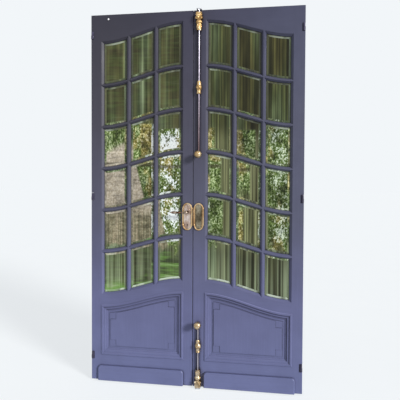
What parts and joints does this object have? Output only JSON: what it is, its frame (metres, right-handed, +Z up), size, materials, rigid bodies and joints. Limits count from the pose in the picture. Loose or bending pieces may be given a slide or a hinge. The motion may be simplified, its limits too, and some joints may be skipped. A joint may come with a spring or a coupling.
{
  "type": "french doors",
  "caption": "Pair of tall glazed double doors with arched rails, bevelled panes, fielded lower panels, brass levers and surface bolts, hung on a slim frame.",
  "frame": {"origin": "middle of the underside of the sill", "axes": "+X to the right seen from the bolt side, +Y away from that side through the doorway, +Z up"},
  "size_m": [1.314, 0.1565, 2.313],
  "materials": {
    "leaf_paint": "eggshell paint on timber",
    "frame_paint": "eggshell paint on timber",
    "bevelled_glass": "polished, bevelled edges",
    "aged_brass": "worn gilt",
    "hinge_steel": "dull, painted over",
    "rod_steel": "polished",
    "lock_steel": "brushed",
    "white_button": "gloss"
  },
  "bodies": {
    "frame": {"left_jamb": "frame_paint", "right_jamb": "frame_paint", "frame_head": "frame_paint", "frame_sill": "frame_paint", "head_keeper": "lock_steel", "sill_keeper": "lock_steel", "left_hinge_pintles": "hinge_steel", "right_hinge_pintles": "hinge_steel"},
    "left_leaf": {"left_outer_stile": "leaf_paint", "left_meeting_stile": "leaf_paint", "left_top_rail": "leaf_paint", "left_middle_rail": "leaf_paint", "left_bottom_rail": "leaf_paint", "left_upright_bars": "leaf_paint", "left_cross_bars": "leaf_paint", "left_panes": "bevelled_glass", "left_glazing_beads": "leaf_paint", "left_panel": "leaf_paint", "left_panel_moulding": "leaf_paint", "left_kick_board": "leaf_paint", "left_hinge_knuckles": "hinge_steel", "lock_case": "lock_steel", "lock_forend": "lock_steel", "front_lock_plate": "aged_brass", "back_lock_plate": "aged_brass", "stop_button": "white_button"},
    "right_leaf": {"right_outer_stile": "leaf_paint", "right_meeting_stile": "leaf_paint", "right_top_rail": "leaf_paint", "right_middle_rail": "leaf_paint", "right_bottom_rail": "leaf_paint", "right_upright_bars": "leaf_paint", "right_cross_bars": "leaf_paint", "right_panes": "bevelled_glass", "right_glazing_beads": "leaf_paint", "right_panel": "leaf_paint", "right_panel_moulding": "leaf_paint", "right_kick_board": "leaf_paint", "right_hinge_knuckles": "hinge_steel", "strike_plate": "lock_steel", "blank_plate": "aged_brass", "upper_guide": "aged_brass", "lower_guide": "aged_brass", "upper_end_guide": "aged_brass", "lower_end_guide": "aged_brass"},
    "lever": {"front_lever": "aged_brass", "back_lever": "aged_brass", "spindle": "lock_steel"},
    "latch": {"latch_bolt": "lock_steel"},
    "dead_bolt": {"dead_bolt": "lock_steel"},
    "upper_bolt": {"upper_rod": "rod_steel", "upper_knob": "aged_brass"},
    "lower_bolt": {"lower_rod": "rod_steel", "lower_knob": "aged_brass"}
  },
  "joints": [
    {"name": "left_leaf_swing", "type": "hinge", "parent": "frame", "child": "left_leaf", "pos_m": [-0.649, -0.065, 1.178], "axis": [0, 0, -1], "range_deg": [0, 110]},
    {"name": "right_leaf_swing", "type": "hinge", "parent": "frame", "child": "right_leaf", "pos_m": [0.649, -0.065, 1.178], "axis": [0, 0, 1], "range_deg": [0, 110]},
    {"name": "lever_turn", "type": "hinge", "parent": "left_leaf", "child": "lever", "pos_m": [-0.041, -0.065, 1.083], "axis": [0, -1, 0], "range_deg": [0, 40], "stiffness_Nm_per_rad": 1.5, "springref_deg": -28.65},
    {"name": "latch_slide", "type": "slide", "parent": "left_leaf", "child": "latch", "axis": [1, 0, 0], "range_m": [0, 0.011]},
    {"name": "dead_bolt_slide", "type": "slide", "parent": "left_leaf", "child": "dead_bolt", "axis": [1, 0, 0], "range_m": [0, 0.013]},
    {"name": "upper_bolt_slide", "type": "slide", "parent": "right_leaf", "child": "upper_bolt", "axis": [0, 0, 1], "range_m": [0, 0.02]},
    {"name": "lower_bolt_slide", "type": "slide", "parent": "right_leaf", "child": "lower_bolt", "axis": [0, 0, -1], "range_m": [0, 0.012]}
  ]
}
